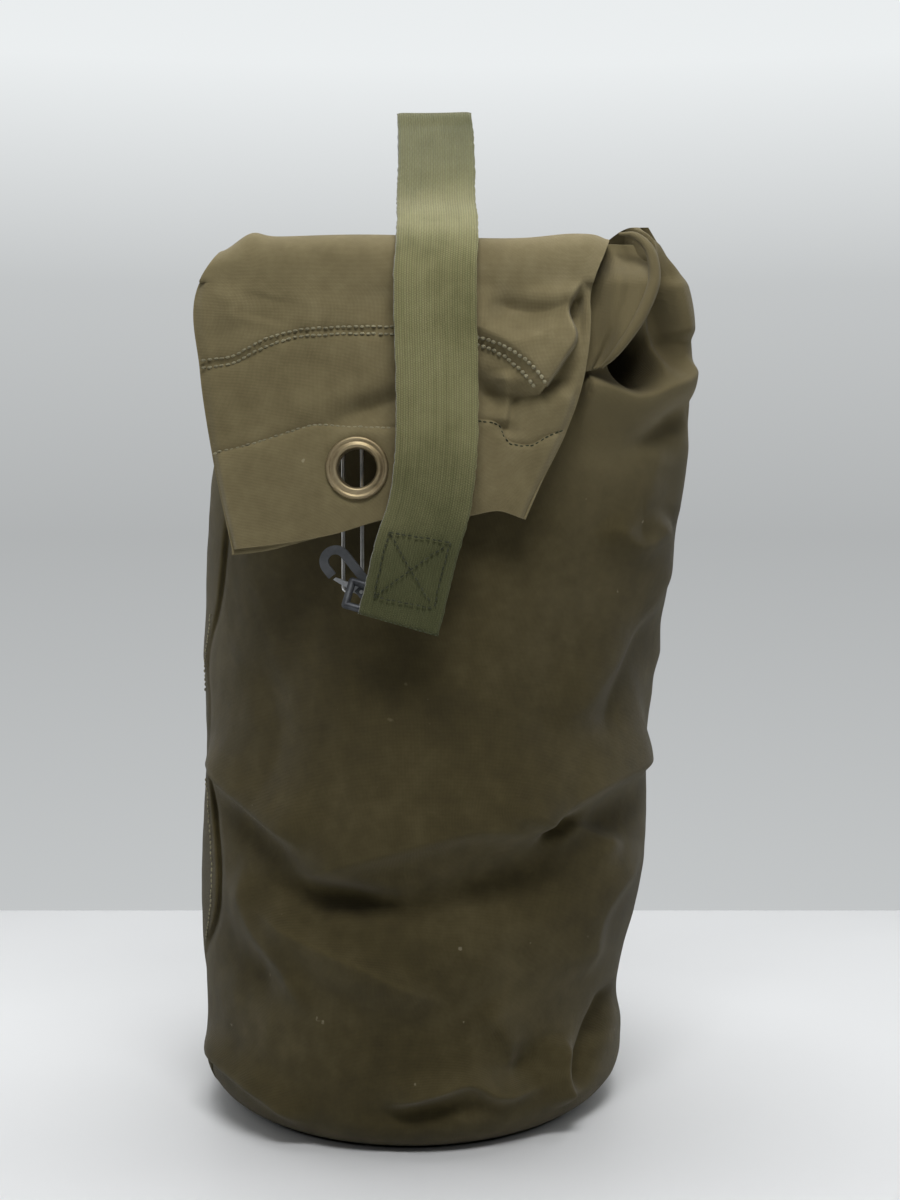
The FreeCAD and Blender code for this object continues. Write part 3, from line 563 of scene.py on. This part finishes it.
def flap():
    """One sheet: up the back of the neck, over the fold, down the front and back up inside at the hem."""
    cols, down, roll, up = 300, 260, 26, 90
    share = np.linspace(0, 1, cols)
    edge = np.minimum(share, 1 - share) * 0.24

    def across(z, s):
        left, right = (keyed(-z, [(-high, x) for high, x in side], 1) for side in (LEFT_EDGE, RIGHT_EDGE))
        return left + (right - left) * s

    start = 0.566

    def crest(x):
        return (0.5955 + 0.004 * np.exp(-((x + 0.118) / 0.012) ** 2) + 0.002 * np.exp(-((x - 0.085) / 0.02) ** 2)
                - 0.0012 * np.sin(x * 34))

    fold_rows, tail_rows = [], []
    ends = 1 - 0.30 * np.exp(-(share / 0.035) ** 2) - 0.10 * np.exp(-((1 - share) / 0.03) ** 2)
    for k in range(roll):
        a = math.pi / 2 * (1 + k / (roll - 1))
        x = across(np.full(cols, start), share)
        for _ in range(2):
            z = start + (crest(x) - start) * ends * math.sin(a) ** 0.72
            x = across(z, share)
        y = -0.164 + 0.0195 * math.cos(a) * np.ones(cols)
        fold_rows.append(np.stack([x, y, z], -1))
    top_row = fold_rows[0]
    back = rounded([(-0.106, -0.0405), (-0.111, -0.0340), (-0.122, -0.0245), (-0.136, -0.0115), (-0.147, -0.0030),
                    (-0.156, -0.0004), (-0.164, 0.0)], 6)
    for y, drop in back[:-1]:
        tail_rows.append(np.stack([top_row[:, 0] * (1 + 0.02 * (y + 0.164)), np.full(cols, y),
                                   top_row[:, 2] + drop], -1))
    front_rows = []
    for k in range(1, down):
        s = k / (down - 1)
        x = across(np.full(cols, start), share)
        z = np.full(cols, start)
        for _ in range(3):
            low = keyed(x, BOTTOM, 1)
            z = start + (low - start) * s
            x = across(z, share)
        y = np.full(cols, FLAP_Y) + 0.0045 * np.exp(-(edge / 0.004) ** 2)
        y = y - flap_relief(x, z) * step(edge, 0.0, 0.006) * step(start - z, -0.001, 0.014)
        front_rows.append(np.stack([x, y, z], -1))
    last = front_rows[-1]
    inner_rows = []
    for k in range(up):
        s = k / (up - 1)
        low = last[:, 2] - 0.0035 * (1 - step(last[:, 0], -0.115, -0.070))
        z = low + (0.562 - low) * s
        x = across(z, share)
        gap = 0.0055 + 0.0055 * step(s, 0.0, 0.25)
        y = np.full(cols, FLAP_Y) + gap * (1 - 0.6 * np.exp(-(edge / 0.004) ** 2))
        y = np.minimum(y, -0.1720)
        inner_rows.append(np.stack([x, y, z], -1))
    outer = np.stack(tail_rows + fold_rows + front_rows, 0)
    inner = np.stack(inner_rows, 0)
    made = []
    for name, rows in (("mouth_flap_canvas", outer), ("mouth_flap_lining", inner)):
        n = rows.shape[0]
        flat = rows.reshape(-1, 3)
        faces = np.array(grid_faces(n, cols, False))
        open_faces = np.zeros(len(faces), bool)
        for x0 in GROMMETS:
            for k in range(4):
                corner = flat[faces[:, k]]
                far = np.hypot(corner[:, 0] - x0, corner[:, 2] - GROMMET_Z)
                open_faces |= (far < HOLE_R) & (corner[:, 1] < -0.165)
        ob = mesh_object(name, flat, faces[~open_faces].tolist())
        ob.data.flip_normals()
        steps = np.linalg.norm(np.diff(rows, axis=0), axis=2).mean(1)
        u = np.tile(share * 0.26, n)
        v = np.repeat(np.r_[0, np.cumsum(steps)], cols)
        cloth_uv(ob, u, v)
        thickened(ob)
        ob.data.polygons.foreach_set("use_smooth", [True] * len(ob.data.polygons))
        painted(ob, CANVAS_FLAP_PAINTED_LIGHT)
        made.append(ob)
    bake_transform(made[0])
    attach(made[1], "mouth_flap")
    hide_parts("flap_canvas", "hem_band")


# ---------------------------------------------------------------- stitching
def stitches(name, path, length, thick, gap, mat, body, seed):
    """A row of thread stitches along a 3-D path, as short rounded bars that lie on the cloth."""
    rng = np.random.default_rng(seed)
    p = np.array(path, float)
    at = np.r_[0, np.cumsum(np.linalg.norm(np.diff(p, axis=0), axis=1))]
    pts, faces = [], []
    for s in np.arange(0, at[-1] - length, length + gap):
        jit = rng.normal(0, 0.0002, 3)
        ends = [np.array([np.interp(s + q * length, at, p[:, k]) for k in range(3)])
                for q in (0, 0.25, 0.5, 0.75, 1)]
        way = ends[-1] - ends[0]
        way = way / (np.linalg.norm(way) + 1e-9)
        side = np.cross(way, [0, 1, 0])
        side = side / (np.linalg.norm(side) + 1e-9)
        up = np.cross(side, way)
        base = len(pts)
        for j, e in enumerate(ends):
            r = thick * (0.45, 0.95, 1.0, 0.95, 0.45)[j]
            lift = (0.0, 0.35, 0.5, 0.35, 0.0)[j] * thick
            for w in range(6):
                a = w * math.pi / 3
                pts.append(e + jit + side * r * math.cos(a) + up * (r * math.sin(a)) + np.array([0, -lift, 0]))
        for j in range(4):
            for w in range(6):
                a, b = base + j * 6 + w, base + j * 6 + (w + 1) % 6
                faces.append((a, b, b + 6, a + 6))
        faces.append(tuple(base + w for w in range(6))[::-1])
        faces.append(tuple(base + 24 + w for w in range(6)))
    ob = mesh_object(name, pts, faces)
    cloth_uv(ob, np.zeros(len(pts)), np.linspace(0, 1, len(pts)))
    painted(ob, mat)
    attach(ob, body)


def on_flap(points, lift):
    """Points (x, z) carried onto the flap's outer ply."""
    p = rounded(points, 20)
    y = FLAP_Y - flap_relief(p[:, 0], p[:, 1]) - lift
    return np.stack([p[:, 0], y, p[:, 1]], -1)


# ---------------------------------------------------------------- webbing
def ribbon(name, centre, width_dir, width, grime, rows, ends):
    """A web strip along rows of a centre line; width_dir is one direction for each point.
    ends says whether its first and last ends are closed."""
    c = np.array(centre, float)
    w = np.array(width_dir, float)
    w = w / np.linalg.norm(w, axis=1)[:, None]
    along = np.gradient(c, axis=0)
    along = along / np.linalg.norm(along, axis=1)[:, None]
    face = np.cross(w, along)
    cols = 25
    s = np.linspace(-0.5, 0.5, cols)
    rng = np.random.default_rng(5)
    fray = rng.normal(0, 0.00018, (len(c), 2))
    co, u, v = [], [], []
    at = np.r_[0, np.cumsum(np.linalg.norm(np.diff(c, axis=0), axis=1))]
    width = np.broadcast_to(width, len(c))[rows[0]:rows[1]]
    c, w, face, fray, at = (q[rows[0]:rows[1]] for q in (c, w, face, fray, at))
    n = len(c)
    for sign in (1, -1):
        for i in range(n):
            for j, q in enumerate(s):
                edge = 1 - 0.75 * (abs(q) * 2) ** 14
                wob = fray[i, 0] * (q < -0.49) + fray[i, 1] * (q > 0.49)
                cup = 0.0012 * (1 - (2 * q) ** 2) * 0.4
                co.append(c[i] + w[i] * (q * width[i] + wob) + face[i] * (sign * WEB_THICK / 2 * edge + cup))
                u.append((q + 0.5) * WEB_WIDTH)
                v.append(at[i])
    faces = grid_faces(n, cols, False)
    half = n * cols
    back = [(a + half, d + half, c2 + half, b + half) for a, b, c2, d in faces]
    rim = []
    for i in range(n - 1):
        for j in (0, cols - 1):
            a, b = i * cols + j, (i + 1) * cols + j
            rim.append((a, b, b + half, a + half) if j == 0 else (a, a + half, b + half, b))
    for i in [q for q, wanted in ((0, ends[0]), (n - 1, ends[1])) if wanted]:
        for j in range(cols - 1):
            a, b = i * cols + j, i * cols + j + 1
            rim.append((a, a + half, b + half, b) if i == 0 else (a, b, b + half, a + half))
    ob = mesh_object(name, co, faces + back + rim)
    cloth_uv(ob, u, v)
    attr = ob.data.color_attributes.new("grime", "FLOAT_COLOR", "POINT")
    g = np.array([grime(p) for p in co])
    attr.data.foreach_set("color", np.stack([g, g, g, np.ones(len(g))], -1).ravel())
    painted(ob, WEB)
    return ob


STRAP_PATH = [
    (-0.004, 0.1655, 0.062), (-0.004, 0.1665, 0.200), (-0.004, 0.1660, 0.330), (-0.003, 0.158, 0.362),
    (-0.002, 0.090, 0.470), (-0.001, 0.010, 0.597), (-0.001, -0.040, 0.677), (-0.001, -0.051, 0.6925),
    (-0.001, -0.064, 0.6945), (0.000, -0.078, 0.682), (0.001, -0.110, 0.652), (0.001, -0.140, 0.624),
    (0.002, -0.168, 0.607), (0.002, -0.186, 0.592), (0.001, -0.1965, 0.572), (0.001, -0.1990, 0.545),
    (0.002, -0.1990, 0.500), (0.001, -0.1985, 0.455), (-0.002, -0.1980, 0.430), (-0.012, -0.1970, 0.395),
    (-0.0188, -0.1965, 0.366), (-0.0225, -0.1962, 0.3525)]
STRAP_LINE = rounded(STRAP_PATH, 16)
STRAP_TURN = step(0.450 - STRAP_LINE[:, 2], 0.0, 0.06) * (STRAP_LINE[:, 1] < -0.19)
LEAN = math.radians(16)


def strap():
    """The back run and loop, the run over the fold, and the front run to the hook."""
    c = STRAP_LINE
    w = np.stack([np.cos(LEAN * STRAP_TURN), -0.06 * np.exp(-((c[:, 2] - 0.70) / 0.08) ** 2),
                  -np.sin(LEAN * STRAP_TURN)], -1)
    width = WEB_WIDTH + 0.001 * STRAP_TURN
    ahead = c[:, 1] < -0.120
    cut = int(np.argmax(ahead))
    second = int(np.argmax(ahead & (c[:, 2] < 0.586)))

    def grime(p):
        low = p[2] - 0.10 * p[0]
        if p[1] > -0.18:
            return 0.62 * float(step(np.array(p[2]), 0.605, 0.665))
        low = np.array(low)
        return 0.45 * float(1 - step(low, 0.425, 0.475)) + 0.5 * float(1 - step(low, 0.395, 0.425))

    made = [ribbon("strap_loop", c, w, width, grime, (0, cut + 1), (True, False)),
            ribbon("strap_over_fold", c, w, width, grime, (cut, second + 1), (False, False)),
            ribbon("strap_front", c, w, width, grime, (second, None), (False, True))]
    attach(made[0], "bag")
    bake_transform(made[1])
    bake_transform(made[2])
    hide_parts("strap_web", "strap_anchor_patch")
    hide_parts("strap_front_web")


PLY_EDGE = [(0.117, -0.165, 0.5975), (0.125, -0.171, 0.596), (0.134, -0.177, 0.587), (0.1375, -0.180, 0.570),
            (0.131, -0.181, 0.549), (0.121, -0.180, 0.532), (0.112, -0.176, 0.520), (0.106, -0.170, 0.514)]


def gathered_ply():
    """The ply caught in the gathers: its rolled edge from the crest down to the dark gap, and the face beside it."""
    line = rounded(PLY_EDGE, 10)
    n, sides = len(line), 14
    t = np.linspace(0, 1, n)
    roll = 0.0040 * np.sin(math.pi * np.clip(t, 0.03, 0.97)) ** 0.5
    a = np.linspace(0, 2 * math.pi, sides, endpoint=False)
    along = np.gradient(line, axis=0)
    along /= np.linalg.norm(along, axis=1)[:, None]
    out = np.cross(along, [0, 1, 0])
    out /= np.linalg.norm(out, axis=1)[:, None]
    up = np.cross(out, along)
    co = (line[:, None] + roll[:, None, None] * (np.cos(a)[None, :, None] * out[:, None]
                                                 + 1.2 * np.sin(a)[None, :, None] * up[:, None]))
    tube = mesh_object("gathered_edge", co.reshape(-1, 3), grid_faces(n, sides, True))
    cloth_uv(tube, np.tile(a * 0.004, n), np.repeat(t * 0.1, sides))
    rows = line[line[:, 2] < 0.592]
    cols = 40
    s = np.linspace(0, 1, cols)[None, :]
    x = 0.084 + (rows[:, :1] - 0.084) * s
    z = rows[:, 2:] - 0.006 * (1 - s) + 0.004 * np.sin(math.pi * s) * np.linspace(1, 0, len(rows))[:, None]
    y = -0.1685 + (rows[:, 1:2] + 0.1685) * step(x, 0.099, 0.118) ** 1.2
    y = y + 0.0035 * np.exp(-((s - 0.72) / 0.10) ** 2) + ripple(x, z, 51, 0.012, 2) * 0.0006
    y = y + 0.022 * step(z, 0.564, 0.588)
    face = mesh_object("gathered_ply", np.stack([x, y, z], -1).reshape(-1, 3), grid_faces(len(rows), cols, False))
    cloth_uv(face, x.ravel(), z.ravel())
    thickened(face)
    for ob in (tube, face):
        painted(ob, CANVAS_PAINTED_SHADE_AND_LIGHT)
        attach(ob, "bag")


body = canvas_body()
gathered_ply()
flap()
strap()


# ---------------------------------------------------------------- metal
def turned(name, profile, spot, sides=96):
    """A brass grommet turned from a profile of (radius, height above the cloth) about its axis, -Y."""
    a = np.linspace(0, 2 * math.pi, sides, endpoint=False)
    p = rounded(profile, 6)
    co = [(spot[0] + r * math.cos(q), spot[1] - h, spot[2] + r * math.sin(q)) for r, h in p for q in a]
    ob = mesh_object(name, co, [f[::-1] for f in grid_faces(len(p), sides, True)])
    painted(ob, BRASS)
    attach(ob, "mouth_flap")
    return ob


RIM = [(0.0122, -0.0042), (0.0121, -0.0010), (0.0124, 0.0014), (0.0133, 0.0027), (0.0146, 0.0029),
       (0.0158, 0.0022), (0.0166, 0.0019), (0.0178, 0.0026), (0.0190, 0.0024), (0.0197, 0.0012), (0.0192, -0.0006)]
for i, x0 in enumerate(GROMMETS):
    rim = turned("front_grommet_%d" % (i + 1), RIM, (x0, -0.1850, GROMMET_Z))
    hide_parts("grommet_%d" % (i + 1), "grommet_washer_%d" % (i + 1))
for name, mat in (("grommet", BRASS), ("staple", WIRE), ("closing", WIRE), ("hook", HOOK), ("gate_pin", WIRE),
                  ("gate_leaf", GATE)):
    for node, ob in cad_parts.items():
        if node.startswith(name):
            painted(ob, mat)
            for p in ob.data.polygons:
                p.material_index = 0

# ---------------------------------------------------------------- stitching rows
ST1 = [(-0.145, 0.517), (-0.125, 0.520), (-0.107, 0.529), (-0.089, 0.535), (-0.064, 0.5375), (-0.022, 0.5375)]
ST2 = [(-0.145, 0.512), (-0.125, 0.5155), (-0.107, 0.5245), (-0.089, 0.5305), (-0.064, 0.5330), (-0.022, 0.5330)]
ST3 = [(0.022, 0.5325), (0.041, 0.526), (0.057, 0.516), (0.069, 0.502)]
ST4 = [(0.022, 0.528), (0.039, 0.5215), (0.053, 0.5105), (0.063, 0.499)]
HEM1 = [(-0.138, 0.4590), (-0.115, 0.4645), (-0.090, 0.4725), (-0.077, 0.4763), (-0.052, 0.4757), (-0.024, 0.475)]
HEM2 = [(0.024, 0.4795), (0.040, 0.4765), (0.046, 0.4665), (0.060, 0.4640), (0.072, 0.4700), (0.082, 0.4740)]
# row, stitch length, thickness, thread
ROWS = ((ST1, 0.0028, 0.0008, THREAD), (ST2, 0.0028, 0.0008, THREAD), (ST3, 0.0028, 0.0012, THREAD),
        (ST4, 0.0028, 0.0012, THREAD), (HEM1, 0.0026, 0.0007, THREAD), (HEM2, 0.0024, 0.0005, DARK_THREAD))
for i, (row, size, thick, mat) in enumerate(ROWS):
    stitches("flap_stitch_%d" % (i + 1), on_flap(row, 0.0009), size, thick, 0.0010, mat, "mouth_flap", seed=10 + i)


FRONT_LINE = STRAP_LINE[STRAP_LINE[:, 1] < -0.19]


def on_strap(u, z):
    """A point on the face of the strap's end: u across it from its middle, z its height there."""
    x, y = (float(np.interp(-z, -FRONT_LINE[:, 2], FRONT_LINE[:, k])) for k in (0, 1))
    return (x + u * math.cos(LEAN), y - 0.0019, z - u * math.sin(LEAN))


box_rows = [[(-0.019, 0.405), (0.019, 0.409)], [(-0.019, 0.365), (0.019, 0.368)], [(-0.019, 0.405), (-0.019, 0.365)],
            [(0.019, 0.409), (0.019, 0.368)], [(-0.018, 0.366), (0.018, 0.408)], [(-0.018, 0.404), (0.018, 0.369)]]
for i, ((u0, z0), (u1, z1)) in enumerate(box_rows):
    line_points = [on_strap(u0 + (u1 - u0) * k / 12, z0 + (z1 - z0) * k / 12) for k in range(13)]
    stitches("box_stitch_%d" % (i + 1), line_points, 0.0026, 0.0005, 0.0012, DARK_THREAD, "strap_end", seed=40 + i)


def on_body(points):
    """Points (x, z) carried onto the front of the bag's canvas."""
    found = []
    for x, z in rounded(points, 10):
        hit, place, normal, _ = body.ray_cast(Vector((x, -0.6, z)), Vector((0, 1, 0)))
        if hit:
            found.append(tuple(place + normal * 0.0004))
    return found


UPPER_EDGE = [(-0.1575, 0.350), (-0.164, 0.318), (-0.1655, 0.290)]
LOWER_EDGE = [(-0.1635, 0.232), (-0.1585, 0.208), (-0.157, 0.147), (-0.163, 0.118)]
for i, row in enumerate((UPPER_EDGE, LOWER_EDGE)):
    stitches("strip_stitch_%d" % (i + 1), on_body(row), 0.0026, 0.0006, 0.0012, THREAD, "bag", seed=60 + i)

# ---------------------------------------------------------------- floor, light and camera
# the floor in (y, z), with its far edge rolled down
FLOOR = [(-2.5, 0.0), (-1.0, 0.0), (0.52, 0.0), (0.545, -0.004), (0.56, -0.02)]
floor = mesh_object("studio_floor", [(x, y, z) for y, z in FLOOR for x in (-2.5, 2.5)],
                    grid_faces(len(FLOOR), 2, False))
paper = Maker("pale_floor")
tone = paper.ramp(paper.noise(2.0, 3), [(0.3, (0.78, 0.79, 0.80)), (0.7, (0.82, 0.83, 0.84))])
paper.finish(tone, 0.55, paper.bump(paper.noise(200, 3), 0.05, 0.001))
painted(floor, paper.mat)


def area(name, place, aim, size, power):
    light = bpy.data.lights.new(name, "AREA")
    light.shape = "RECTANGLE"
    light.size, light.size_y = size
    light.energy = power
    ob = bpy.data.objects.new(name, light)
    ob.location = place
    ob.rotation_euler = (Vector(aim) - Vector(place)).to_track_quat("-Z", "Y").to_euler()
    bpy.context.scene.collection.objects.link(ob)


area("top_light", (0.0, 0.10, 1.55), (0.0, 0.0, 0.3), (1.5, 0.7), 11)
area("front_top_light", (0.05, -0.85, 1.30), (0.0, -0.15, 0.50), (0.55, 0.3), 9.5)
area("left_light", (-1.3, -0.1, 0.8), (0, 0, 0.35), (0.7, 1.2), 2.5)
area("right_light", (1.3, 0.0, 0.8), (0, 0, 0.4), (0.7, 1.2), 2)

# the background: dark towards the front, and a pale gradient with height behind
world = bpy.data.worlds.new("studio")
bpy.context.scene.world = world
world.use_nodes = True
sky = world.node_tree
way = sky.nodes.new("ShaderNodeSeparateXYZ")
sky.links.new(sky.nodes.new("ShaderNodeTexCoord").outputs["Generated"], way.inputs[0])
depth = sky.nodes.new("ShaderNodeMapRange")
sky.links.new(way.outputs[1], depth.inputs["Value"])
depth.inputs["From Min"].default_value = -0.2
depth.inputs["From Max"].default_value = 0.8
rise = sky.nodes.new("ShaderNodeValToRGB")
rise_in = sky.nodes.new("ShaderNodeMapRange")
sky.links.new(way.outputs[2], rise_in.inputs["Value"])
rise_in.inputs["From Min"].default_value = -0.3
rise_in.inputs["From Max"].default_value = 0.7
sky.links.new(rise_in.outputs[0], rise.inputs[0])
for at, level in ((0.0, 0.60), (0.28, 0.50), (0.42, 0.56), (0.54, 0.86), (0.75, 0.80), (1.0, 0.45)):
    stop = rise.color_ramp.elements.new(at) if at not in (0.0, 1.0) else rise.color_ramp.elements[int(at)]
    stop.color = (level * 0.97, level, level * 1.01, 1)
blend_sky = sky.nodes.new("ShaderNodeMix")
blend_sky.data_type = "RGBA"
sky.links.new(depth.outputs[0], blend_sky.inputs[0])
blend_sky.inputs[6].default_value = (0.10, 0.103, 0.106, 1)
sky.links.new(rise.outputs[0], blend_sky.inputs[7])
sky.links.new(blend_sky.outputs[2], sky.nodes["Background"].inputs[0])
sky.nodes["Background"].inputs[1].default_value = 1.0

camera = bpy.data.cameras.new("camera")
camera.lens = 52
camera.sensor_width = 36
eye = bpy.data.objects.new("camera", camera)
eye.location = (0.010, -1.27, 0.43)
eye.rotation_euler = (math.radians(86.7), 0, 0)
bpy.context.scene.collection.objects.link(eye)
bpy.context.scene.camera = eye
bpy.context.scene.view_settings.view_transform = "Standard"
